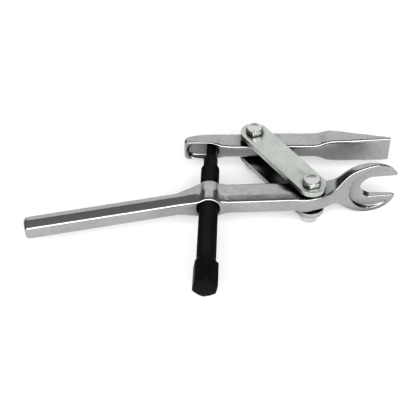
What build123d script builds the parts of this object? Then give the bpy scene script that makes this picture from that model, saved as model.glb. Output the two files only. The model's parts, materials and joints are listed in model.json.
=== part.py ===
from build123d import *
from math import cos, radians, sin, sqrt
import os

# Lever-type ball joint separator, in millimetres. The tool lies on its side: its arms move in the XY plane
# and its pivot bolts stand along Z. The origin is the centre of the fork slot's round end.
# Plan places are given from the middle of the screw boss, and at() moves them to the part's frame.

# Middle of the screw boss in the part's frame
SCREW_X = -140.0
SCREW_Y = -22.0

# Forcing screw, M16, along Y
SCREW_RADIUS = 8.0
SHOULDER_Y = 38.5
SHOULDER_CHAMFER = 1.2
NECK_RADIUS = 6.2
NECK_END_Y = 51.0
HEAD_ACROSS_FLATS = 19.0
HEAD_BACK_Y = -76.0
HEAD_FACE_Y = -100.3
HEAD_BEVEL = 1.0
HEAD_TURN = 20.0

# Thrust pin and the spring ring that holds it in the screw's neck
NOSE_RADIUS = 4.3
NOSE_DOME_RADIUS = 5.5
PIN_TIP_Y = 65.7
PIN_SHANK_RADIUS = 3.0
PIN_SHANK_LENGTH = 11.0
RING_INNER_RADIUS = 2.5
RING_OUTER_RADIUS = 3.6
RING_WIDTH = 1.0
RING_DEPTH = 6.5
RING_SPLIT = 1.2
FIT = 0.05
SIDE_PLAY = 0.1

# Screw boss on the main arm
BOSS_FACE_RADIUS = 11.3
BOSS_MID_RADIUS = 12.2
BOSS_HALF_LENGTH = 12.6
BOSS_MOUTH_RADIUS = 9.6
BOSS_BLEND_START = 5.0
BOSS_BLEND_HEIGHT = 10.2
BOSS_BLEND_DEPTH = 12.0

# Main arm's handle, a hexagonal bar that slopes to the front
HANDLE_ANGLE = 194.5
HANDLE_LENGTH = 155.5
HANDLE_HALF_DEPTH = 8.1
HANDLE_FLAT = 5.5
HANDLE_RIDGE = 8.9
HANDLE_BLEND_END = 27.0
HANDLE_END_BEVEL = 1.8

# Main arm's right-hand bar
BAR_ANGLE = 4.2
BAR_LENGTH = 86.0
BAR_HALF_DEPTH = 11.8
BAR_FLAT = 6.5
BAR_RIDGE = 7.6
BAR_RIDGE_OFFSET = -2.3
BAR_BLEND_END = 15.0

# Pivots
FORK_PIVOT = (86.0, 6.3)
FORK_EYE_RADIUS = 9.0
PRESSURE_PIVOT = (38.3, 73.4)
PRESSURE_EYE_RADIUS = 8.4
EYE_HALF_HEIGHT = 9.9

# Fork. The lines are plan places from the screw boss, and the heights are half heights along X.
NECK_FRONT = [(76, -7.2), (86, -6.3), (93, -3.9), (98, -1.5), (106.7, 5.0), (116, 10.6), (128, 13.4),
              (140, 16.4), (161, 22.4)]
NECK_BACK = [(76, 17.6), (86, 18.6), (93, 20.4), (98, 22.2), (106.7, 24.4), (116, 25.2), (140, 25.4),
             (161, 25.6)]
NECK_HEIGHTS = [(76, 7.0), (92, 7.0), (100, 7.2), (106.7, 8.4), (111.5, 12.4), (116.4, 17.4),
                (121.5, 21.2), (127, 23.8), (133, 25.6), (140, 26.3)]
FORK_RADIUS = 26.3
FORK_TIP_X = 161.0
FORK_TIP_CORNER = 2.4
FORK_DRAFT_HEIGHT = 4.2
FORK_DRAFT_DEPTH = 5.0
SLOT_RADIUS = 11.0
RECESS_RADIUS = 21.5
RECESS_SLOPE = 7.9
RECESS_FLOOR_Y = 19.2

# Pressure arm
ARM_FRONT = [(-24.3, 62.0), (10, 61.6), (38, 62.3), (97, 64.6), (130, 66.4), (159.5, 69.5)]
ARM_BACK = [(-24.3, 70.0), (-14, 76.5), (0, 79.2), (20, 80.6), (38, 82.2), (80, 83.4), (98, 83.6),
            (115, 80.9), (133, 77.4), (159.5, 72.6)]
ARM_HEIGHTS = [(-24.3, 10.4), (-10, 10.5), (0, 10.2), (5, 8.8), (9, 7.2), (14, 6.5), (50, 6.5),
               (90, 6.5), (96, 7.2), (101, 9.6), (106, 11.1), (115, 11.6), (140, 12.2), (159.5, 12.0)]
ARM_END_CORNER = 3.0
BLOCK_SLOPE_START = (66.0, 10.6)
BLOCK_SLOPE_END = (80.0, 6.3)
BLOCK_SLOPE_X = (-30.0, 12.0)
POCKET_CENTRE_X = -7.5
POCKET_LENGTH = 30.0
POCKET_HEIGHT = 18.0
POCKET_DEPTH = 4.6
POCKET_DRAFT = 2.6
POCKET_CORNER = 0.6
POCKET_FACE_Y = 61.8

# Link plates, pivot bolts, washers and locking nuts. The nuts take the bolts' size across flats.
PLATE_RADIUS = 12.3
PLATE_THICKNESS = 4.5
PLATE_GAP = 0.15
BOLT_RADIUS = 4.0
BOLT_HEAD_FLATS = 14.0
BOLT_HEAD_HEIGHT = 5.0
BOLT_HEAD_TURN = 20.0
BOLT_END_BEVEL = 0.8
BOLT_STICK_OUT = 0.4
WASHER_RADIUS = 8.0
WASHER_THICKNESS = 1.6
NUT_HEIGHT = 8.6
NUT_BEVEL = 0.8
NUT_LIP = 0.5
INSERT_RADIUS = 5.2
INSERT_HEIGHT = 2.2

PLATE_INNER_Z = EYE_HALF_HEIGHT + PLATE_GAP
PLATE_OUTER_Z = PLATE_INNER_Z + PLATE_THICKNESS
NUT_TOP_Z = -PLATE_OUTER_Z - WASHER_THICKNESS
NUT_END_Z = NUT_TOP_Z - NUT_HEIGHT
INSERT_END_Z = NUT_END_Z + NUT_LIP
FAR = 120.0


def at(x, y, z=0.0):
    """A place given from the middle of the screw boss, in the part's frame."""
    return Vector(SCREW_X + x, SCREW_Y + y, z)


def along(angle, distance):
    """A plan place at a distance from the screw boss, in a direction."""
    return distance * cos(radians(angle)), distance * sin(radians(angle))


def hex_section(angle, distance, half_depth, flat, ridge, ridge_offset=0.0):
    """A bar's hexagonal section, flat at front and back, across a line from the screw boss."""
    place = at(*along(angle, distance))
    direction = Vector(cos(radians(angle)), sin(radians(angle)), 0)
    plane = Plane(origin=place, x_dir=(-direction.Y, direction.X, 0), z_dir=direction)
    points = [
        (-half_depth, -flat),
        (ridge_offset, -ridge),
        (half_depth, -flat),
        (half_depth, flat),
        (ridge_offset, ridge),
        (-half_depth, flat),
    ]
    return plane * make_face(Polyline(*points, close=True))


def plan_solid(front, back):
    """A tall solid between a smooth front line and a smooth back line, as seen from above."""
    front_line = Spline(*[at(x, y, -FAR) for x, y in front])
    back_line = Spline(*[at(x, y, -FAR) for x, y in back])
    left = Line(front_line @ 0, back_line @ 0)
    right = Line(front_line @ 1, back_line @ 1)
    return extrude(make_face([front_line, right, back_line, left]), amount=2 * FAR, dir=(0, 0, 1))


def front_view(heights, end_edges):
    """A face that is symmetrical about Z = 0, as seen from the front.

    end_edges are the edges from the last height down to the middle plane.
    """
    upper = [Spline(*[at(x, 0, height) for x, height in heights])] + end_edges
    lower = [mirror(edge, about=Plane.XY) for edge in upper]
    first_x, first_height = heights[0]
    start = Line(at(first_x, 0, first_height), at(first_x, 0, -first_height))
    return make_face([start] + upper + lower)


def deep_solid(face):
    """A front view pushed far to the front and the back."""
    return extrude(Location((0, -FAR, 0)) * face, amount=2 * FAR, dir=(0, 1, 0))


def eye(pivot, radius):
    """The thick round pad that a pivot bolt passes through."""
    return Location(at(*pivot)) * Cylinder(radius, 2 * EYE_HALF_HEIGHT)


def bolt_hole(pivot, height):
    """The running fit of a pivot bolt, to be cut."""
    return Location(at(*pivot)) * Cylinder(BOLT_RADIUS + FIT, height)


def turned(profile):
    """A solid turned about the screw's axis from (radius, Y) points."""
    face = make_face(Polyline(*[at(radius, y) for radius, y in profile], close=True))
    return revolve(face, axis=Axis(at(0, 0), (0, 1, 0)))


def screw_boss():
    """The round boss that holds the screw thread, widest at its middle."""
    return turned([
        (0, -BOSS_HALF_LENGTH),
        (BOSS_FACE_RADIUS, -BOSS_HALF_LENGTH),
        (BOSS_MID_RADIUS, 0),
        (BOSS_FACE_RADIUS, BOSS_HALF_LENGTH),
        (0, BOSS_HALF_LENGTH),
    ])


def screw_bore():
    """The screw's bore with a bevelled mouth at each end, to be cut."""
    bore = SCREW_RADIUS + FIT
    bevel = BOSS_MOUTH_RADIUS - bore
    clear_y = BOSS_HALF_LENGTH + bevel
    return turned([
        (0, -clear_y),
        (BOSS_MOUTH_RADIUS, -clear_y),
        (BOSS_MOUTH_RADIUS, -BOSS_HALF_LENGTH),
        (bore, -BOSS_HALF_LENGTH + bevel),
        (bore, BOSS_HALF_LENGTH - bevel),
        (BOSS_MOUTH_RADIUS, BOSS_HALF_LENGTH),
        (BOSS_MOUTH_RADIUS, clear_y),
        (0, clear_y),
    ])


def handle():
    """The long hexagonal handle with its blend into the boss."""
    size = (HANDLE_HALF_DEPTH, HANDLE_FLAT, HANDLE_RIDGE)
    near_boss = (BOSS_BLEND_DEPTH, BOSS_BLEND_HEIGHT - 1, BOSS_BLEND_HEIGHT)
    start = hex_section(HANDLE_ANGLE, HANDLE_BLEND_END, *size)
    bar = extrude(start, amount=HANDLE_LENGTH - HANDLE_BLEND_END)
    end_face = bar.faces().sort_by(Axis.X)[0]
    bar = chamfer(end_face.edges(), HANDLE_END_BEVEL)
    blend = loft([hex_section(HANDLE_ANGLE, BOSS_BLEND_START, *near_boss), start], ruled=True)
    return bar + blend


def right_bar():
    """The deep bar between the boss and the fork pivot, with its blend into the boss."""
    size = (BAR_HALF_DEPTH, BAR_FLAT, BAR_RIDGE, BAR_RIDGE_OFFSET)
    near_boss = (BOSS_BLEND_DEPTH, BOSS_BLEND_HEIGHT - 1, BOSS_BLEND_HEIGHT, BAR_RIDGE_OFFSET)
    start = hex_section(BAR_ANGLE, BAR_BLEND_END, *size)
    bar = extrude(start, amount=BAR_LENGTH - BAR_BLEND_END)
    blend = loft([hex_section(BAR_ANGLE, BOSS_BLEND_START, *near_boss), start], ruled=True)
    return bar + blend


def fork():
    """The neck and the open fork, thick at the neck and thin at the tips."""
    slot_x, top_height = NECK_HEIGHTS[-1]
    tip_reach = FORK_TIP_X - slot_x
    tip_height = sqrt(FORK_RADIUS ** 2 - tip_reach ** 2)
    middle_reach = FORK_RADIUS * sin(radians(30))
    middle_height = FORK_RADIUS * cos(radians(30))
    rim = ThreePointArc(
        at(slot_x, 0, top_height),
        at(slot_x + middle_reach, 0, middle_height),
        at(FORK_TIP_X, 0, tip_height),
    )
    tip = Line(at(FORK_TIP_X, 0, tip_height), at(FORK_TIP_X, 0, 0))
    outline = front_view(NECK_HEIGHTS, [rim, tip])
    body = plan_solid(NECK_FRONT, NECK_BACK) & deep_solid(outline)
    back_face = max(body.faces(), key=lambda face: face.normal_at().Y)
    rim_edges = back_face.edges().filter_by(Axis.Z, reverse=True)
    body = chamfer(rim_edges, FORK_DRAFT_HEIGHT, FORK_DRAFT_DEPTH, reference=back_face)
    slot = Circle(SLOT_RADIUS) + Location((FAR / 2, 0)) * Rectangle(FAR, 2 * SLOT_RADIUS)
    tines = outline - Location(at(slot_x, 0), (90, 0, 0)) * slot
    tip_x = SCREW_X + FORK_TIP_X
    tip_corners = tines.vertices().filter_by_position(Axis.X, tip_x - 1, tip_x + 1)
    body &= deep_solid(fillet(tip_corners, FORK_TIP_CORNER))
    return body - ball_joint_recess(slot_x)


def ball_joint_recess(slot_x):
    """The round seat around the slot, milled into the fork's sloping front, to be cut."""
    seat_centre = at(slot_x, RECESS_FLOOR_Y)
    seat = Location(seat_centre, (0, 0, RECESS_SLOPE)) * Location((0, -FAR / 2, 0), (90, 0, 0))
    return seat * Cylinder(RECESS_RADIUS, FAR)


def main_arm():
    """The forged main arm: handle, screw boss, bar, pivot eye and fork."""
    body = handle() + right_bar() + fork() + screw_boss() + eye(FORK_PIVOT, FORK_EYE_RADIUS)
    return body - screw_bore() - bolt_hole(FORK_PIVOT, 2 * FAR)


def pocket():
    """The long drafted hollow that the thrust pin presses in, to be cut."""
    floor = Plane(at(POCKET_CENTRE_X, POCKET_FACE_Y + POCKET_DEPTH), x_dir=(1, 0, 0), z_dir=(0, -1, 0))
    mouth = floor.offset(2 * POCKET_DEPTH)
    floor_slot = floor * SlotOverall(POCKET_LENGTH - 2 * POCKET_DRAFT, POCKET_HEIGHT - 2 * POCKET_DRAFT)
    mouth_slot = mouth * SlotOverall(POCKET_LENGTH + 2 * POCKET_DRAFT, POCKET_HEIGHT + 2 * POCKET_DRAFT)
    hollow = loft([floor_slot, mouth_slot])
    floor_edges = hollow.faces().sort_by(Axis.Y)[-1].edges()
    return fillet(floor_edges, POCKET_CORNER)


def block_slopes():
    """The wedges above and below the block, whose height falls towards the back, to be cut."""
    (start_y, start_z), (end_y, end_z) = BLOCK_SLOPE_START, BLOCK_SLOPE_END
    left_x, right_x = BLOCK_SLOPE_X
    corners = [(start_y, start_z), (end_y, end_z), (end_y, FAR), (start_y, FAR)]
    side = make_face(Polyline(*[at(left_x, y, z) for y, z in corners], close=True))
    wedge = extrude(side, amount=right_x - left_x, dir=(1, 0, 0))
    return wedge + mirror(wedge, about=Plane.XY)


def pressure_arm():
    """The forged pressure arm: pocketed block, bar, pivot eye and wedge blade."""
    end_x, end_height = ARM_HEIGHTS[-1]
    end = Line(at(end_x, 0, end_height), at(end_x, 0, 0))
    body = plan_solid(ARM_FRONT, ARM_BACK) & deep_solid(front_view(ARM_HEIGHTS, [end]))
    body -= block_slopes()
    block_end = body.faces().sort_by(Axis.X)[0]
    body = fillet(block_end.edges(), ARM_END_CORNER)
    body += eye(PRESSURE_PIVOT, PRESSURE_EYE_RADIUS)
    return body - pocket() - bolt_hole(PRESSURE_PIVOT, 2 * FAR)


def link_plate(lowest_z):
    """A flat plate with round ends over the two pivots."""
    ends = [at(*FORK_PIVOT, lowest_z), at(*PRESSURE_PIVOT, lowest_z)]
    line = Line(*ends)
    flat = make_face(offset(line, PLATE_RADIUS, side=Side.BOTH))
    plate = extrude(flat, amount=PLATE_THICKNESS, dir=(0, 0, 1))
    return plate - bolt_hole(FORK_PIVOT, 2 * FAR) - bolt_hole(PRESSURE_PIVOT, 2 * FAR)


def bevelled_hexagon(across_flats, height, bevel):
    """A hexagonal head on Z = 0 with the corners of its top turned off."""
    corner_radius = across_flats / sqrt(3)
    hexagon = extrude(RegularPolygon(corner_radius, 6), amount=height)
    profile = Polyline(
        (0, 0, 0),
        (corner_radius, 0, 0),
        (corner_radius, 0, height - bevel),
        (across_flats / 2 - bevel / 2, 0, height),
        (0, 0, height),
        close=True,
    )
    return hexagon & revolve(make_face(profile), axis=Axis.Z)


def pivot_bolt(pivot):
    """A hex head bolt, head up, long enough for both plates, the washer and the nut."""
    head = bevelled_hexagon(BOLT_HEAD_FLATS, BOLT_HEAD_HEIGHT, BOLT_END_BEVEL)
    head = Location(at(*pivot, PLATE_OUTER_Z), (0, 0, BOLT_HEAD_TURN)) * head
    end_z = NUT_END_Z - BOLT_STICK_OUT
    length = PLATE_OUTER_Z - end_z
    shank = Cylinder(BOLT_RADIUS, length, align=(Align.CENTER, Align.CENTER, Align.MIN))
    shank = chamfer(shank.edges().sort_by(Axis.Z)[0], BOLT_END_BEVEL)
    return head + Location(at(*pivot, end_z)) * shank


def pivot_washer(pivot):
    """The flat washer between the lower plate and the nut."""
    washer = Cylinder(WASHER_RADIUS, WASHER_THICKNESS, align=(Align.CENTER, Align.CENTER, Align.MIN))
    return Location(at(*pivot, NUT_TOP_Z)) * washer - bolt_hole(pivot, 2 * FAR)


def insert_space(pivot, fit):
    """The room of the nylon ring about a bolt, made wider and higher by a fit."""
    height = INSERT_HEIGHT + 2 * fit
    blank = Cylinder(INSERT_RADIUS + fit, height, align=(Align.CENTER, Align.CENTER, Align.MIN))
    return Location(at(*pivot, INSERT_END_Z - fit)) * blank


def pivot_nut(pivot):
    """A locking nut: a deep hexagon, one side square to the front, with a nylon ring set in its lower end."""
    hexagon = bevelled_hexagon(BOLT_HEAD_FLATS, NUT_HEIGHT, NUT_BEVEL)
    hexagon = Location(at(*pivot, NUT_TOP_Z), (180, 0, 0)) * hexagon
    return hexagon - insert_space(pivot, FIT) - bolt_hole(pivot, 2 * FAR)


def nut_insert(pivot):
    """The nylon ring set in the nut."""
    return insert_space(pivot, 0.0) - bolt_hole(pivot, 2 * FAR)


def forcing_screw():
    """The screw with its long hexagonal head, its shoulder and the bored neck for the thrust pin."""
    shank = turned([
        (0, HEAD_BACK_Y),
        (SCREW_RADIUS, HEAD_BACK_Y),
        (SCREW_RADIUS, SHOULDER_Y - SHOULDER_CHAMFER),
        (SCREW_RADIUS - SHOULDER_CHAMFER, SHOULDER_Y),
        (NECK_RADIUS, SHOULDER_Y),
        (NECK_RADIUS, NECK_END_Y),
        (0, NECK_END_Y),
    ])
    head = bevelled_hexagon(HEAD_ACROSS_FLATS, HEAD_BACK_Y - HEAD_FACE_Y, HEAD_BEVEL)
    head = Location(at(0, HEAD_BACK_Y), (90, 0, 0)) * Location((0, 0, 0), (0, 0, HEAD_TURN)) * head
    shank_bore = PIN_SHANK_RADIUS + FIT
    bore_end = NECK_END_Y - PIN_SHANK_LENGTH - SIDE_PLAY
    groove_start = NECK_END_Y - RING_DEPTH - RING_WIDTH / 2 - FIT
    groove_end = NECK_END_Y - RING_DEPTH + RING_WIDTH / 2 + FIT
    hollow = turned([
        (0, bore_end),
        (shank_bore, bore_end),
        (shank_bore, groove_start),
        (RING_OUTER_RADIUS + FIT, groove_start),
        (RING_OUTER_RADIUS + FIT, groove_end),
        (shank_bore, groove_end),
        (shank_bore, NECK_END_Y),
        (0, NECK_END_Y),
    ])
    return head + shank - hollow


def thrust_pin():
    """The pin with a domed nose that stands still in the pocket while the screw turns."""
    groove_radius = RING_INNER_RADIUS - FIT
    groove_start = NECK_END_Y - RING_DEPTH - RING_WIDTH / 2 - SIDE_PLAY
    groove_end = NECK_END_Y - RING_DEPTH + RING_WIDTH / 2 + SIDE_PLAY
    nose_start = NECK_END_Y + SIDE_PLAY
    blank = turned([
        (0, NECK_END_Y - PIN_SHANK_LENGTH),
        (PIN_SHANK_RADIUS, NECK_END_Y - PIN_SHANK_LENGTH),
        (PIN_SHANK_RADIUS, groove_start),
        (groove_radius, groove_start),
        (groove_radius, groove_end),
        (PIN_SHANK_RADIUS, groove_end),
        (PIN_SHANK_RADIUS, nose_start),
        (NOSE_RADIUS, nose_start),
        (NOSE_RADIUS, PIN_TIP_Y),
        (0, PIN_TIP_Y),
    ])
    dome_y = PIN_TIP_Y - NOSE_DOME_RADIUS
    body_length = dome_y - NECK_END_Y + PIN_SHANK_LENGTH
    body_middle = dome_y - body_length / 2
    envelope = Location(at(0, dome_y)) * Sphere(NOSE_DOME_RADIUS)
    envelope += Location(at(0, body_middle), (90, 0, 0)) * Cylinder(NOSE_DOME_RADIUS, body_length)
    return blank & envelope


def thrust_pin_ring():
    """The split spring ring between the screw's neck and the thrust pin."""
    middle_y = NECK_END_Y - RING_DEPTH
    ring = turned([
        (RING_INNER_RADIUS, middle_y - RING_WIDTH / 2),
        (RING_OUTER_RADIUS, middle_y - RING_WIDTH / 2),
        (RING_OUTER_RADIUS, middle_y + RING_WIDTH / 2),
        (RING_INNER_RADIUS, middle_y + RING_WIDTH / 2),
    ])
    split = Location(at(0, middle_y, RING_OUTER_RADIUS)) * Box(RING_SPLIT, FAR, 2 * RING_OUTER_RADIUS)
    return ring - split


parts = {
    "main_arm": main_arm(),
    "pressure_arm": pressure_arm(),
    "upper_link_plate": link_plate(PLATE_INNER_Z),
    "lower_link_plate": link_plate(-PLATE_OUTER_Z),
    "forcing_screw": forcing_screw(),
    "thrust_pin": thrust_pin(),
    "thrust_pin_ring": thrust_pin_ring(),
}
for name, pivot in (("fork_pivot", FORK_PIVOT), ("pressure_pivot", PRESSURE_PIVOT)):
    parts[f"{name}_bolt"] = pivot_bolt(pivot)
    parts[f"{name}_washer"] = pivot_washer(pivot)
    parts[f"{name}_nut"] = pivot_nut(pivot)
    parts[f"{name}_nut_insert"] = nut_insert(pivot)

os.makedirs("parts", exist_ok=True)
for node, solid in parts.items():
    export_step(solid, f"parts/{node}.step")
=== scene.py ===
import json
import math

import bmesh
import bpy
from mathutils import Matrix, Vector

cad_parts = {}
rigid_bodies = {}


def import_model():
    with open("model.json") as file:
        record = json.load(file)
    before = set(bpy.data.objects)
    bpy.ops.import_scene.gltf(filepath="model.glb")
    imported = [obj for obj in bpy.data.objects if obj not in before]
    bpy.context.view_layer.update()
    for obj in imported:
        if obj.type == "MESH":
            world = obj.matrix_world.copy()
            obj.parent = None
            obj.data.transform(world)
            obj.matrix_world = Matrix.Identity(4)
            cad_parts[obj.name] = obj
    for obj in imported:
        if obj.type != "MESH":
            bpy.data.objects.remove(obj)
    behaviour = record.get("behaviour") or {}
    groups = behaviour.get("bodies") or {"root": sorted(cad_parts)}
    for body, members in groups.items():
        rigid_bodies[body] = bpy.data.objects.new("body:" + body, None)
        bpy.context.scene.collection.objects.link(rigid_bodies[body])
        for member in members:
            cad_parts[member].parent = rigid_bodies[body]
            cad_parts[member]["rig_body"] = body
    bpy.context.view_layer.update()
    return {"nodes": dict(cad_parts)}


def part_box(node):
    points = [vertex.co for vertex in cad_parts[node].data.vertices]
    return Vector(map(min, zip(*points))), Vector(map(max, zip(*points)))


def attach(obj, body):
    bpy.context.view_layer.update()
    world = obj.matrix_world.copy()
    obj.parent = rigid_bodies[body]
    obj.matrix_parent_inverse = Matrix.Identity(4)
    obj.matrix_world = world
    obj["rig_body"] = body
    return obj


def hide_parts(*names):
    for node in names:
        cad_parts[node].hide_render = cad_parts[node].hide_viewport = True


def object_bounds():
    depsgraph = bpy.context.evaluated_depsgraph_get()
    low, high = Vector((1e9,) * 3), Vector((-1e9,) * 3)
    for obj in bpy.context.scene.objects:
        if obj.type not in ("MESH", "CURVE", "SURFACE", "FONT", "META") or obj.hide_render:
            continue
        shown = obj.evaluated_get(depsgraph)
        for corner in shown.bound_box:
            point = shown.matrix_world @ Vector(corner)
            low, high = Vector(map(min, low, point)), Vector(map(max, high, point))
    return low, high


# Looks of a lever-type ball joint separator, in metres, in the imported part's frame. The tool lies on its
# side: its arms move in the XY plane, its pivot bolts stand along Z and its forcing screw runs along Y.

MM = 0.001

# Camera, at the photograph's viewing angle
CAMERA_PLACE = (-0.1189, -0.6078, 0.5507)
CAMERA_PITCH = math.radians(43.86)
CAMERA_YAW = math.radians(1.98)
CAMERA_ROLL = math.radians(-0.31)
LENS_MM = 81.43
SENSOR_MM = 36.0
CLIP_END = 20.0

# Floor. The glow is a little light of its own, which keeps it pale under the tool.
FLOOR_HALF_WIDTH = 8.0
FLOOR_GREY = (0.74, 0.74, 0.74, 1.0)
FLOOR_ROUGHNESS = 0.9
FLOOR_GLOW = 0.3

# How light the studio is by height, from straight down, 0, to the horizon, 0.5, and overhead, 1
WORLD_LEVELS = [(0.0, 0.5), (0.44, 0.5), (0.48, 0.03), (0.58, 0.03), (0.74, 0.12), (0.9, 0.22), (1.0, 0.26)]

# Softboxes: place, point aimed at, width, height and brightness
SOFTBOXES = {
    "front_softbox": ((-0.1, -1.05, 0.95), (-0.1, 0.0, 0.0), 2.4, 1.2, 3.5),
    "back_softbox": ((-0.1, 1.3, 0.96), (-0.1, 0.0, 0.96), 1.6, 1.9, 0.85),
}

# Base colours
FORGING_COLOURS = {
    "dull": (0.36, 0.367, 0.37),
    "clean": (0.445, 0.45, 0.447),
    "patchy": (0.315, 0.32, 0.325),
    "rubbed": (0.7, 0.7, 0.69),
    # painted shade: the dark colour laid where neighbouring metal covers the forging
    "painted_shade": (0.13, 0.13, 0.13),
}
PLATE_COLOURS = {
    "dull": (0.47, 0.50, 0.47),
    "clean": (0.58, 0.61, 0.57),
    "spotted": (0.43, 0.45, 0.42),
    "rubbed": (0.72, 0.73, 0.71),
    # painted shade: the near-black laid where other metal covers the plates
    "painted_shade": (0.035, 0.035, 0.033),
}
BOLT_COLOURS = {
    "dull": (0.52, 0.53, 0.52),
    "clean": (0.66, 0.66, 0.65),
    # painted shade: the dark colour laid where neighbouring metal covers a bolt, nut or washer
    "painted_shade": (0.12, 0.12, 0.115),
}
OXIDE_COLOURS = {
    "deep": (0.003, 0.003, 0.0035),
    "thin": (0.008, 0.008, 0.0085),
    "rubbed": (0.03, 0.03, 0.031),
}
SPRING_COLOURS = {"dark": (0.10, 0.11, 0.13), "light": (0.2, 0.21, 0.23)}
NYLON_COLOURS = {"dark": (0.55, 0.57, 0.6), "light": (0.68, 0.7, 0.72)}

# Samples of the nodes that look for edges and for covering metal, whose cover is painted as shade
EDGE_SAMPLES = 6
PAINTED_SHADE_SAMPLES = 8

# Forged skins: the arms are remeshed finely and smoothed, which turns their edges into forged fillets.
# Round a crisp place a share of the smoothing is left, which grows back to all of it over CRISP_REACH.
SKIN_VOXEL = 0.55 * MM
SKIN_SMOOTHING = 64
SMOOTHING_STEP = 0.5
CRISP_REACH = 6 * MM
FORK_CRISP_RADIUS = 24 * MM
FORK_SMOOTHING_SHARE = 0.25
BLADE_CRISP_RADIUS = 12 * MM
BLADE_SMOOTHING_SHARE = 0.12
BLADE_TIP_INSET = 12 * MM
POCKET_CRISP_RADIUS = 9 * MM
POCKET_SMOOTHING_SHARE = 0.15
POCKET_FROM_SCREW_AXIS = -7.5 * MM

# Link plates
PLATE_BEVEL = 0.5 * MM
BEVEL_SEGMENTS = 3
PLATE_MERGE = 0.002 * MM
FLAT_ANGLE = math.radians(1)
BEVEL_ANGLE = math.radians(35)
PLATE_SHARP_ANGLE = math.radians(40)

# Turned and hexagonal pieces. Their sizes, here and below, are in millimetres. A ring has SIDES points, and
# a hexagon's corners reach CORNER_LAND of the way to sharp ones.
SIDES = 72
CORNER_LAND = 0.985
CHAMFER_STEPS = 4
TURNED_MERGE = 0.0005
TURNED_SHARP_ANGLE = math.radians(28)

# Profiles of the pivot pieces: (distance in from an end, radius). Chamfers cut a hexagon's corners. One in
# round brackets holds its two ends only, and chamfer() divides it.
HEX_FLATS = 14.0
HEX_CORNER = HEX_FLATS / math.sqrt(3)
HEX_LAND = HEX_FLATS / 2 - 0.3
BOLT_RADIUS = 4.0
BOLT_TIP = [(0.0, BOLT_RADIUS - 0.8), (0.8, BOLT_RADIUS)]
BOLT_SEAT = [(0.0, BOLT_RADIUS), (0.0, 6.4), (0.3, 6.5)]
BOLT_LOWER_CHAMFER = [(0.3, 7.5), (0.6, HEX_CORNER)]
BOLT_UPPER_CHAMFER = ((0.95, HEX_CORNER), (0.15, HEX_LAND))
BOLT_TOP = [(0.0, HEX_LAND - 0.25), (0.0, 5.0), (0.15, 4.7), (0.15, 0.0)]
NUT_HOLE = BOLT_RADIUS + 0.05
NUT_TOP = [(0.0, NUT_HOLE + 0.5), (0.0, 6.5)]
NUT_UPPER_CHAMFER = [(0.3, 7.3), (0.6, HEX_CORNER)]
NUT_LOWER_CHAMFER = [(0.95, HEX_CORNER), (0.7, 7.85), (0.4, 7.35), (0.1, HEX_LAND)]
NUT_SOCKET = [(0.0, HEX_LAND - 0.25), (0.0, 5.0), (0.15, 4.75), (0.45, 4.75), (0.45, 5.25), (2.75, 5.25),
              (2.75, NUT_HOLE)]
NUT_HOLE_TOP = [(0.5, NUT_HOLE)]
WASHER_HOLE = 4.3

# The washers' punched edges: (distance in from an end, distance in from the rim)
WASHER_UPPER_EDGE = [(0.0, 0.3), (0.12, 0.08), (0.35, 0.0)]
WASHER_LOWER_EDGE = [(0.3, 0.0), (0.0, 0.2)]

# Profile of the forcing screw
SCREW_FLATS = 19.0
SCREW_CORNER = SCREW_FLATS / math.sqrt(3)
SCREW_LAND = SCREW_FLATS / 2 - 0.4
SCREW_RADIUS = 8.0
SCREW_HEAD_LENGTH = 24.3
NECK_RADIUS = 6.2
NECK_LENGTH = 12.5
PIN_BORE = 3.08
RING_GROOVE = 3.66
SCREW_FACE = [(2.2, 0.0), (0.8, 1.2), (0.0, 2.0), (0.0, SCREW_LAND - 0.3)]
SCREW_FACE_CHAMFER = ((0.12, SCREW_LAND), (1.02, SCREW_CORNER))
SCREW_BACK_CHAMFER = [(0.9, SCREW_CORNER), (0.45, SCREW_CORNER - 0.75), (0.0, SCREW_LAND)]
SCREW_COLLAR = [(0.0, 8.7), (0.15, 8.3), (0.6, SCREW_RADIUS)]
THREAD_FROM_HEAD = 4.0
THREAD_FROM_SHOULDER = 1.2
SHOULDER_BEVEL = [(THREAD_FROM_SHOULDER, SCREW_RADIUS), (0.15, SCREW_RADIUS - 1.0), (0.0, SCREW_RADIUS - 1.2),
                  (0.0, NECK_RADIUS + 0.6)]
NECK_ROOT = [(0.2, NECK_RADIUS + 0.2), (0.6, NECK_RADIUS)]
NECK_END = [(0.7, NECK_RADIUS), (0.2, NECK_RADIUS - 0.25), (0.0, NECK_RADIUS - 0.6), (0.0, 3.4)]
BORE = [(0.3, PIN_BORE), (5.9, PIN_BORE), (5.9, RING_GROOVE), (7.1, RING_GROOVE), (7.1, PIN_BORE),
        (11.1, PIN_BORE), (11.1, 0.0)]

# Thread of the forcing screw. A groove steeper than 1 leaves a flat crest beside it.
THREAD_PITCH = 1.5
THREAD_DEPTH = 0.75
THREAD_ROWS = 6
THREAD_FADE = 1.5
GROOVE_STEEPNESS = 1.25

# CAD nodes that are shown as they are, and their material slots
CAD_LOOKS = {
    "thrust_pin": "black_oxide",
    "thrust_pin_ring": "spring_steel",
    "fork_pivot_nut_insert": "nylon",
    "pressure_pivot_nut_insert": "nylon",
}

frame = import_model()
nodes = frame["nodes"]


# Camera, floor and light

def make_camera():
    """The camera at the photograph's place, looking down at the tool from the front."""
    data = bpy.data.cameras.new("camera")
    data.lens = LENS_MM
    data.sensor_width = SENSOR_MM
    data.clip_end = CLIP_END
    camera = bpy.data.objects.new("camera", data)
    turn = Matrix.Rotation(CAMERA_YAW, 4, "Z") @ Matrix.Rotation(math.pi / 2 - CAMERA_PITCH, 4, "X")
    camera.matrix_world = Matrix.Translation(CAMERA_PLACE) @ turn @ Matrix.Rotation(CAMERA_ROLL, 4, "Z")
    bpy.context.scene.collection.objects.link(camera)
    bpy.context.scene.camera = camera


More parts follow.
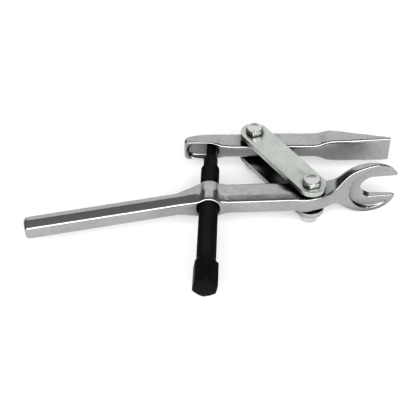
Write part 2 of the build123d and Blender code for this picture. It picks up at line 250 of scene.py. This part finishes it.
def make_floor():
    """A plain pale floor for the tool to lie on."""
    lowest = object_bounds()[0][2]
    half = FLOOR_HALF_WIDTH
    mesh = bpy.data.meshes.new("floor")
    corners = [(-half, -half, lowest), (half, -half, lowest), (half, half, lowest), (-half, half, lowest)]
    mesh.from_pydata(corners, [], [(0, 1, 2, 3)])
    floor = bpy.data.objects.new("floor", mesh)
    bpy.context.scene.collection.objects.link(floor)
    material = bpy.data.materials.new("floor_paper")
    material.use_nodes = True
    shader = material.node_tree.nodes["Principled BSDF"]
    shader.inputs["Base Color"].default_value = FLOOR_GREY
    shader.inputs["Roughness"].default_value = FLOOR_ROUGHNESS
    shader.inputs["Emission Color"].default_value = (1, 1, 1, 1)
    shader.inputs["Emission Strength"].default_value = FLOOR_GLOW
    mesh.materials.append(material)


def make_world():
    """A studio that is dark near the horizon and dim grey overhead."""
    world = bpy.data.worlds.new("studio")
    bpy.context.scene.world = world
    world.use_nodes = True
    tree = world.node_tree
    tree.nodes.clear()
    place = tree.nodes.new("ShaderNodeTexCoord")
    split = tree.nodes.new("ShaderNodeSeparateXYZ")
    heights = tree.nodes.new("ShaderNodeMapRange")
    ramp = tree.nodes.new("ShaderNodeValToRGB")
    light = tree.nodes.new("ShaderNodeBackground")
    out = tree.nodes.new("ShaderNodeOutputWorld")
    heights.inputs["From Min"].default_value = -1.0
    heights.inputs["From Max"].default_value = 1.0
    tree.links.new(place.outputs["Generated"], split.inputs[0])
    tree.links.new(split.outputs["Z"], heights.inputs["Value"])
    tree.links.new(heights.outputs[0], ramp.inputs[0])
    ramp_ends = 2
    for _ in range(len(WORLD_LEVELS) - ramp_ends):
        ramp.color_ramp.elements.new(0.5)
    for element, (place_on_ramp, level) in zip(ramp.color_ramp.elements, WORLD_LEVELS):
        element.position = place_on_ramp
        element.color = (level, level, level, 1)
    tree.links.new(ramp.outputs[0], light.inputs["Color"])
    tree.links.new(light.outputs[0], out.inputs[0])


def make_softbox(name, place, target, width, height, brightness):
    """A soft rectangular light aimed at a point. Its brightness is what a mirror would show of it."""
    data = bpy.data.lights.new(name, "AREA")
    data.shape = "RECTANGLE"
    data.size = width
    data.size_y = height
    data.energy = brightness * math.pi * width * height
    lamp = bpy.data.objects.new(name, data)
    lamp.location = place
    lamp.rotation_euler = (Vector(target) - Vector(place)).to_track_quat("-Z", "Y").to_euler()
    bpy.context.scene.collection.objects.link(lamp)


def make_lights():
    """A bright softbox in front and a dimmer one behind."""
    for name, settings in SOFTBOXES.items():
        make_softbox(name, *settings)


# Materials

def add(tree, kind, settings=None, **links):
    """Adds a node. settings are input values by name, and links are sockets to join to inputs by name."""
    node = tree.nodes.new(kind)
    for key, value in (settings or {}).items():
        node.inputs[key].default_value = value
    for key, socket in links.items():
        tree.links.new(socket, node.inputs[key.replace("_", " ")])
    return node


def noise(tree, place, per_mm, detail=3.0, roughness=0.55):
    """A noise whose size is given as features per millimetre."""
    settings = {"Scale": per_mm / MM, "Detail": detail, "Roughness": roughness}
    return add(tree, "ShaderNodeTexNoise", settings, Vector=place).outputs["Fac"]


def spread(tree, value, low, high, start=0.3, end=0.7):
    """Maps a noise to run from low to high."""
    settings = {"From Min": start, "From Max": end, "To Min": low, "To Max": high}
    return add(tree, "ShaderNodeMapRange", settings, Value=value).outputs[0]


def blend_colours(tree, factor, first, second):
    """Mixes two colours, each a tuple or a socket, by a factor socket."""
    node = tree.nodes.new("ShaderNodeMix")
    node.data_type = "RGBA"
    factor_socket = node.inputs[0]
    colour_sockets = node.inputs[6:8]
    result_socket = node.outputs[2]
    tree.links.new(factor, factor_socket)
    for socket, colour in zip(colour_sockets, (first, second)):
        if isinstance(colour, tuple):
            socket.default_value = (*colour, 1)
        else:
            tree.links.new(colour, socket)
    return result_socket


def bumped(tree, height, depth_mm, normal=None):
    """A bump whose full height is given in millimetres."""
    node = add(tree, "ShaderNodeBump", {"Strength": 1.0, "Distance": depth_mm * MM}, Height=height)
    if normal:
        tree.links.new(normal, node.inputs["Normal"])
    return node.outputs["Normal"]


def start_material(name):
    """A node material with its shader and a place socket in the part's own frame."""
    material = bpy.data.materials.new(name)
    material.use_nodes = True
    tree = material.node_tree
    place = tree.nodes.new("ShaderNodeTexCoord").outputs["Object"]
    return material, tree, tree.nodes["Principled BSDF"], place


def edge_mask(tree, radius_mm, start, end):
    """1 on sharp edges and 0 on flats, from how far a rounded normal turns from the true one."""
    rounded = add(tree, "ShaderNodeBevel", {"Radius": radius_mm * MM})
    rounded.samples = EDGE_SAMPLES
    true_normal = tree.nodes.new("ShaderNodeNewGeometry").outputs["True Normal"]
    dot = tree.nodes.new("ShaderNodeVectorMath")
    dot.operation = "DOT_PRODUCT"
    tree.links.new(rounded.outputs[0], dot.inputs[0])
    tree.links.new(true_normal, dot.inputs[1])
    return spread(tree, dot.outputs["Value"], 0.0, 1.0, start, end)


def worn_edges(tree, start, end):
    """1 along convex edges of a finely meshed skin, where plating is rubbed bright."""
    pointiness = tree.nodes.new("ShaderNodeNewGeometry").outputs["Pointiness"]
    return spread(tree, pointiness, 0.0, 1.0, start, end)


def painted_shade_mask(tree, reach_mm, start, end):
    """Painted shade: 1 where neighbouring metal covers a surface, whose colour is then darkened as if shaded,
    and 0 in the open.
    """
    painted_shade_amount = add(tree, "ShaderNodeAmbientOcclusion", {"Distance": reach_mm * MM})
    painted_shade_amount.samples = PAINTED_SHADE_SAMPLES
    return spread(tree, painted_shade_amount.outputs["AO"], 1.0, 0.0, start, end)


def satin_forging():
    """Blasted and plated forged steel: grey, satin, faintly uneven, rubbed bright on its edges."""
    material, tree, shader, place = start_material("satin_forging_look")
    colours = FORGING_COLOURS
    clouds = noise(tree, place, per_mm=0.035, detail=4.0)
    patches = noise(tree, place, per_mm=0.22, detail=5.0, roughness=0.6)
    grain = noise(tree, place, per_mm=2.6, roughness=0.7)
    waves = noise(tree, place, per_mm=0.09, detail=1.0)
    plating = blend_colours(tree, spread(tree, clouds, 0, 1), colours["dull"], colours["clean"])
    colour = blend_colours(tree, spread(tree, patches, 0.0, 0.55), plating, colours["patchy"])
    colour = blend_colours(tree, worn_edges(tree, start=0.515, end=0.56), colour, colours["rubbed"])
    # painted shade: darkens the forging where neighbouring metal covers it
    painted_shade_amount = painted_shade_mask(tree, reach_mm=18.0, start=0.4, end=0.92)
    colour = blend_colours(tree, painted_shade_amount, colour, colours["painted_shade"])
    tree.links.new(colour, shader.inputs["Base Color"])
    shader.inputs["Metallic"].default_value = 1.0
    roughness = tree.nodes.new("ShaderNodeMath")
    roughness.operation = "MULTIPLY_ADD"
    grain_share = 0.05
    tree.links.new(grain, roughness.inputs[0])
    roughness.inputs[1].default_value = grain_share
    tree.links.new(spread(tree, patches, 0.14, 0.22), roughness.inputs[2])
    tree.links.new(roughness.outputs[0], shader.inputs["Roughness"])
    normal = bumped(tree, waves, depth_mm=0.16)
    normal = bumped(tree, patches, depth_mm=0.03, normal=normal)
    normal = bumped(tree, grain, depth_mm=0.003, normal=normal)
    tree.links.new(normal, shader.inputs["Normal"])
    return material


def zinc_plate():
    """Zinc-plated flat bar: pale grey-green, mottled, with rubbed edges."""
    material, tree, shader, place = start_material("zinc_plate_look")
    colours = PLATE_COLOURS
    clouds = noise(tree, place, per_mm=0.06, detail=5.0, roughness=0.6)
    spots = noise(tree, place, per_mm=0.5, detail=4.0, roughness=0.65)
    grain = noise(tree, place, per_mm=3.2, detail=2.0)
    plating = blend_colours(tree, spread(tree, clouds, 0, 1), colours["dull"], colours["clean"])
    colour = blend_colours(tree, spread(tree, spots, 0.0, 0.5), plating, colours["spotted"])
    edges = edge_mask(tree, radius_mm=0.5, start=0.995, end=0.93)
    colour = blend_colours(tree, edges, colour, colours["rubbed"])
    # painted shade: darkens the plates where the arms and the other plate cover them
    painted_shade_amount = painted_shade_mask(tree, reach_mm=34.0, start=0.45, end=0.8)
    colour = blend_colours(tree, painted_shade_amount, colour, colours["painted_shade"])
    tree.links.new(colour, shader.inputs["Base Color"])
    shader.inputs["Metallic"].default_value = 1.0
    tree.links.new(spread(tree, spots, 0.24, 0.36), shader.inputs["Roughness"])
    normal = bumped(tree, clouds, depth_mm=0.03)
    normal = bumped(tree, grain, depth_mm=0.003, normal=normal)
    tree.links.new(normal, shader.inputs["Normal"])
    return material


def bright_zinc():
    """Bright zinc on the bolts, washers and nuts."""
    material, tree, shader, place = start_material("bright_zinc_look")
    colours = BOLT_COLOURS
    spots = noise(tree, place, per_mm=0.7, detail=4.0, roughness=0.6)
    grain = noise(tree, place, per_mm=4.0, detail=2.0)
    colour = blend_colours(tree, spread(tree, spots, 0, 1), colours["dull"], colours["clean"])
    # painted shade: darkens the bolts, nuts and washers where neighbouring metal covers them
    painted_shade_amount = painted_shade_mask(tree, reach_mm=6.0, start=0.35, end=0.8)
    colour = blend_colours(tree, painted_shade_amount, colour, colours["painted_shade"])
    tree.links.new(colour, shader.inputs["Base Color"])
    shader.inputs["Metallic"].default_value = 1.0
    tree.links.new(spread(tree, spots, 0.2, 0.32), shader.inputs["Roughness"])
    normal = bumped(tree, spots, depth_mm=0.008)
    normal = bumped(tree, grain, depth_mm=0.002, normal=normal)
    tree.links.new(normal, shader.inputs["Normal"])
    return material


def black_oxide():
    """Blackened and oiled steel, greyer where it is rubbed."""
    material, tree, shader, place = start_material("black_oxide_look")
    colours = OXIDE_COLOURS
    spots = noise(tree, place, per_mm=0.35, detail=5.0, roughness=0.6)
    grain = noise(tree, place, per_mm=3.0)
    colour = blend_colours(tree, spread(tree, spots, 0, 1), colours["deep"], colours["thin"])
    edges = edge_mask(tree, radius_mm=0.25, start=0.97, end=0.8)
    colour = blend_colours(tree, edges, colour, colours["rubbed"])
    tree.links.new(colour, shader.inputs["Base Color"])
    shader.inputs["Specular IOR Level"].default_value = 0.07
    tree.links.new(spread(tree, spots, 0.36, 0.5), shader.inputs["Roughness"])
    tree.links.new(bumped(tree, grain, depth_mm=0.008), shader.inputs["Normal"])
    return material


def spring_steel():
    """Blued spring wire."""
    material, tree, shader, place = start_material("spring_steel_look")
    spots = noise(tree, place, per_mm=1.2)
    colour = blend_colours(tree, spread(tree, spots, 0, 1), SPRING_COLOURS["dark"], SPRING_COLOURS["light"])
    tree.links.new(colour, shader.inputs["Base Color"])
    shader.inputs["Metallic"].default_value = 1.0
    tree.links.new(spread(tree, spots, 0.25, 0.4), shader.inputs["Roughness"])
    tree.links.new(bumped(tree, spots, depth_mm=0.01), shader.inputs["Normal"])
    return material


def nylon():
    """The nuts' blue-white locking rings."""
    material, tree, shader, place = start_material("nylon_look")
    spots = noise(tree, place, per_mm=0.8)
    colour = blend_colours(tree, spread(tree, spots, 0, 1), NYLON_COLOURS["dark"], NYLON_COLOURS["light"])
    tree.links.new(colour, shader.inputs["Base Color"])
    shader.inputs["Subsurface Weight"].default_value = 0.1
    tree.links.new(spread(tree, spots, 0.4, 0.55), shader.inputs["Roughness"])
    tree.links.new(bumped(tree, spots, depth_mm=0.02), shader.inputs["Normal"])
    return material


# Pieces

def place_piece(name, mesh, slot, node):
    """Links a mesh as a piece that stands for a CAD node on the node's body."""
    mesh.materials.clear()
    mesh.materials.append(looks[slot])
    piece = bpy.data.objects.new(name, mesh)
    bpy.context.scene.collection.objects.link(piece)
    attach(piece, nodes[node]["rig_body"])
    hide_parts(node)


def evaluated_copy(piece):
    """The mesh of an object with its modifiers applied."""
    graph = bpy.context.evaluated_depsgraph_get()
    return bpy.data.meshes.new_from_object(piece.evaluated_get(graph))


def softness(place, crisp_places):
    """How much a place is smoothed: all of it, or less near the places that are kept crisp."""
    soft = 1.0
    for middle, radius, share in crisp_places:
        beyond = (place - middle).length - radius
        part = min(1.0, max(0.0, beyond / CRISP_REACH))
        soft = min(soft, share + (1 - share) * part)
    return soft


def forged_skin(node, slot, crisp_places):
    """A forging's CAD shape with soft forged edges instead of sharp ones."""
    blank = bpy.data.objects.new("blank", nodes[node].data.copy())
    bpy.context.scene.collection.objects.link(blank)
    remesh = blank.modifiers.new("remesh", "REMESH")
    remesh.mode = "VOXEL"
    remesh.voxel_size = SKIN_VOXEL
    rough = bpy.data.objects.new("rough", evaluated_copy(blank))
    bpy.data.objects.remove(blank)
    bpy.context.scene.collection.objects.link(rough)
    group = rough.vertex_groups.new(name="softness")
    for vertex in rough.data.vertices:
        group.add([vertex.index], softness(vertex.co, crisp_places), "REPLACE")
    smooth = rough.modifiers.new("smooth", "SMOOTH")
    smooth.factor = SMOOTHING_STEP
    smooth.iterations = SKIN_SMOOTHING
    smooth.vertex_group = "softness"
    mesh = evaluated_copy(rough)
    bpy.data.objects.remove(rough)
    mesh.shade_smooth()
    place_piece(node + "_skin", mesh, slot, node)


def bevelled_copy(node, slot):
    """A flat plate's CAD shape with small bevels on its sharp edges."""
    rough = bpy.data.objects.new("rough", nodes[node].data.copy())
    bpy.context.scene.collection.objects.link(rough)
    shape = bmesh.new()
    shape.from_mesh(rough.data)
    bmesh.ops.remove_doubles(shape, verts=shape.verts, dist=PLATE_MERGE)
    bmesh.ops.dissolve_limit(shape, angle_limit=FLAT_ANGLE, verts=shape.verts, edges=shape.edges)
    shape.to_mesh(rough.data)
    shape.free()
    bevel = rough.modifiers.new("bevel", "BEVEL")
    bevel.width = PLATE_BEVEL
    bevel.segments = BEVEL_SEGMENTS
    bevel.limit_method = "ANGLE"
    bevel.angle_limit = BEVEL_ANGLE
    mesh = evaluated_copy(rough)
    bpy.data.objects.remove(rough)
    mesh.shade_smooth()
    mesh.set_sharp_from_angle(angle=PLATE_SHARP_ANGLE)
    place_piece(node + "_finished", mesh, slot, node)


def hexagon_reach(angle, flats, turn):
    """How far a hexagon's side is from its middle in a direction. A corner points along turn."""
    step = math.pi / 3
    from_middle_of_side = (angle - turn) % step - step / 2
    return min(flats / 2 / math.cos(from_middle_of_side), CORNER_LAND * flats / math.sqrt(3))


def chamfer(start, end):
    """(distance, radius) pairs from start to end, enough for the curves that it cuts on a hexagon's sides."""
    pairs = []
    for step in range(CHAMFER_STEPS + 1):
        part = step / CHAMFER_STEPS
        pairs.append(tuple(first + (last - first) * part for first, last in zip(start, end)))
    return pairs


def rows_from(end, inward, profile, flats=None):
    """Rows (height, radius, flats) from a profile's (distance, radius) pairs, measured from an end. inward
    is 1 where the piece is above the end and -1 where it is below. With flats, a hexagon is cut."""
    return [(end + inward * distance, radius, flats) for distance, radius in profile]


def round_point(reach, angle, height):
    """A point in metres from millimetres and an angle around Z."""
    return (reach * math.cos(angle) * MM, reach * math.sin(angle) * MM, height * MM)


def ring(row, turn):
    """The points of one row: a circle, or a hexagon that is cut to the row's radius."""
    height, radius, flats = row
    points = []
    for side in range(SIDES):
        angle = 2 * math.pi * side / SIDES + turn
        reach = min(radius, hexagon_reach(angle, flats, turn)) if flats else radius
        points.append(round_point(reach, angle, height))
    return points


def join_rings(first, second):
    """The faces between two rings, given by their first points' numbers."""
    faces = []
    for side in range(SIDES):
        beside = (side + 1) % SIDES
        faces.append((first + side, first + beside, second + beside, second + side))
    return faces


def thread_rows(start, end, radius, turn):
    """Points and faces of a thread between two heights, whose rows wind up with it. It fades at its ends."""
    points = []
    faces = []
    rows = range(-THREAD_ROWS, math.ceil((end - start) / THREAD_PITCH * THREAD_ROWS) + 1)
    for row in rows:
        crest = abs((row % THREAD_ROWS) / THREAD_ROWS * 2 - 1)
        depth = THREAD_DEPTH * max(0.0, 1 - GROOVE_STEEPNESS * crest)
        for side in range(SIDES):
            height = start + (row / THREAD_ROWS + side / SIDES) * THREAD_PITCH
            height = min(end, max(start, height))
            fade = min(1.0, (height - start) / THREAD_FADE, (end - height) / THREAD_FADE)
            reach = radius - depth * fade
            angle = 2 * math.pi * side / SIDES + turn
            points.append(round_point(reach, angle, height))
    for row in range(len(rows) - 1):
        for side in range(SIDES):
            last = side == SIDES - 1
            low = row * SIDES + side
            low_beside = (row + THREAD_ROWS) * SIDES if last else low + 1
            high_beside = low_beside + SIDES
            if high_beside < len(points):
                faces.append((low, low_beside, high_beside, low + SIDES))
    return points, faces


def turned_mesh(name, rows, turn, closed=False, thread=None):
    """A mesh of rings around Z. A closed profile joins its last row to its first. A thread, given by its
    two heights and radius, takes the place of the span between the two rows at those heights."""
    points = []
    faces = []
    for row in rows:
        points += ring(row, turn)
    pairs = len(rows) if closed else len(rows) - 1
    for low in range(pairs):
        high = (low + 1) % len(rows)
        if not thread or rows[low][0] != thread[0]:
            faces += join_rings(low * SIDES, high * SIDES)
    if thread:
        thread_points, thread_faces = thread_rows(*thread, turn)
        faces += [tuple(len(points) + corner for corner in face) for face in thread_faces]
        points += thread_points
    if not closed:
        faces.append(tuple(reversed(range(SIDES))))
        faces.append(tuple((len(rows) - 1) * SIDES + side for side in range(SIDES)))
    mesh = bpy.data.meshes.new(name)
    mesh.from_pydata(points, [], faces)
    shape = bmesh.new()
    shape.from_mesh(mesh)
    bmesh.ops.remove_doubles(shape, verts=shape.verts, dist=TURNED_MERGE * MM)
    bmesh.ops.recalc_face_normals(shape, faces=shape.faces)
    shape.to_mesh(mesh)
    shape.free()
    mesh.shade_smooth()
    mesh.set_sharp_from_angle(angle=TURNED_SHARP_ANGLE)
    return mesh


def corner_angle(node, middle, upright=True):
    """The direction of a hexagon's corner on a CAD node, about a standing axis or one along Y."""
    def offset(vertex):
        across = vertex.co - middle
        return Vector((across.x, across.y if upright else -across.z))
    offsets = [offset(vertex) for vertex in nodes[node].data.vertices]
    farthest = max(offsets, key=lambda across: round(across.length, 6))
    return math.atan2(farthest.y, farthest.x)


def place_turned(node, rows, middle, turn, closed=False):
    """Places a pivot piece that is turned about a standing axis."""
    mesh = turned_mesh(node + "_turned", rows, turn, closed)
    mesh.transform(Matrix.Translation(middle))
    place_piece(node + "_turned", mesh, "bright_zinc", node)


def pivot_bolt(node, middle):
    """A hex head bolt, whose head stands on the upper plate."""
    low, high = (corner.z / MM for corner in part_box(node))
    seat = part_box("upper_link_plate")[1].z / MM
    rows = rows_from(low, 1, BOLT_TIP)
    rows += rows_from(seat, 1, BOLT_SEAT)
    rows += rows_from(seat, 1, BOLT_LOWER_CHAMFER, HEX_FLATS)
    rows += rows_from(high, -1, chamfer(*BOLT_UPPER_CHAMFER), HEX_FLATS)
    rows += rows_from(high, -1, BOLT_TOP)
    place_turned(node, rows, middle, corner_angle(node, middle))


def pivot_nut(node, middle):
    """A locking nut with the socket for its nylon ring in its lower end."""
    low, high = (corner.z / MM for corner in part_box(node))
    rows = rows_from(high, -1, NUT_TOP)
    rows += rows_from(high, -1, NUT_UPPER_CHAMFER, HEX_FLATS)
    rows += rows_from(low, 1, NUT_LOWER_CHAMFER, HEX_FLATS)
    rows += rows_from(low, 1, NUT_SOCKET)
    rows += rows_from(high, -1, NUT_HOLE_TOP)
    place_turned(node, rows, middle, corner_angle(node, middle), closed=True)


def pivot_washer(node, middle):
    """A punched washer, rounder on its upper edge."""
    low_corner, high_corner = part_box(node)
    low, high = low_corner.z / MM, high_corner.z / MM
    radius = (high_corner.x - low_corner.x) / 2 / MM
    upper_edge = [(distance, radius - inset) for distance, inset in WASHER_UPPER_EDGE]
    lower_edge = [(distance, radius - inset) for distance, inset in WASHER_LOWER_EDGE]
    rows = rows_from(high, -1, [(0.0, WASHER_HOLE)] + upper_edge)
    rows += rows_from(low, 1, lower_edge + [(0.0, WASHER_HOLE)])
    place_turned(node, rows, middle, turn=0.0, closed=True)


def pivot_pieces(pivot):
    """A pivot's bolt, nut and washer, at their CAD heights."""
    low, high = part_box(pivot + "_nut")
    middle = Vector(((low.x + high.x) / 2, (low.y + high.y) / 2, 0))
    pivot_bolt(pivot + "_bolt", middle)
    pivot_nut(pivot + "_nut", middle)
    pivot_washer(pivot + "_washer", middle)


def forcing_screw_piece(axis):
    """The forcing screw with its long head, its thread and the bore for the thrust pin."""
    face, end = (corner.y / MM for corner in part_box("forcing_screw"))
    back = face + SCREW_HEAD_LENGTH
    shoulder = end - NECK_LENGTH
    thread = (back + THREAD_FROM_HEAD, shoulder - THREAD_FROM_SHOULDER, SCREW_RADIUS)
    rows = rows_from(face, 1, SCREW_FACE)
    rows += rows_from(face, 1, chamfer(*SCREW_FACE_CHAMFER), SCREW_FLATS)
    rows += rows_from(back, -1, SCREW_BACK_CHAMFER, SCREW_FLATS)
    rows += rows_from(back, 1, SCREW_COLLAR + [(THREAD_FROM_HEAD, SCREW_RADIUS)])
    rows += rows_from(shoulder, -1, SHOULDER_BEVEL)
    rows += rows_from(shoulder, 1, NECK_ROOT)
    rows += rows_from(end, -1, NECK_END + BORE)
    turn = corner_angle("forcing_screw", axis, upright=False)
    mesh = turned_mesh("forcing_screw_turned", rows, turn, thread=thread)
    mesh.transform(Matrix.Translation(axis) @ Matrix.Rotation(-math.pi / 2, 4, "X"))
    place_piece("forcing_screw_turned", mesh, "black_oxide", "forcing_screw")


make_camera()
make_floor()
make_world()
make_lights()

looks = {
    "satin_forging": satin_forging(),
    "zinc_plate": zinc_plate(),
    "bright_zinc": bright_zinc(),
    "black_oxide": black_oxide(),
    "spring_steel": spring_steel(),
    "nylon": nylon(),
}

screw_low, screw_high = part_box("forcing_screw")
screw_axis = Vector(((screw_low.x + screw_high.x) / 2, 0, 0))
arm_low, arm_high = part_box("pressure_arm")
fork_centre = Vector((0, 0, 0))
blade_tip = Vector((arm_high.x, arm_high.y - BLADE_TIP_INSET, 0))
pocket_middle = Vector((screw_axis.x + POCKET_FROM_SCREW_AXIS, arm_low.y, 0))
forged_skin("main_arm", "satin_forging", [(fork_centre, FORK_CRISP_RADIUS, FORK_SMOOTHING_SHARE)])
forged_skin("pressure_arm", "satin_forging", [
    (blade_tip, BLADE_CRISP_RADIUS, BLADE_SMOOTHING_SHARE),
    (pocket_middle, POCKET_CRISP_RADIUS, POCKET_SMOOTHING_SHARE),
])
for plate in ("upper_link_plate", "lower_link_plate"):
    bevelled_copy(plate, "zinc_plate")
for pivot in ("fork_pivot", "pressure_pivot"):
    pivot_pieces(pivot)
forcing_screw_piece(screw_axis)
for node, slot in CAD_LOOKS.items():
    nodes[node].data.materials.clear()
    nodes[node].data.materials.append(looks[slot])

bpy.context.scene.view_settings.view_transform = "Standard"
bpy.context.scene.view_settings.look = "Medium High Contrast"
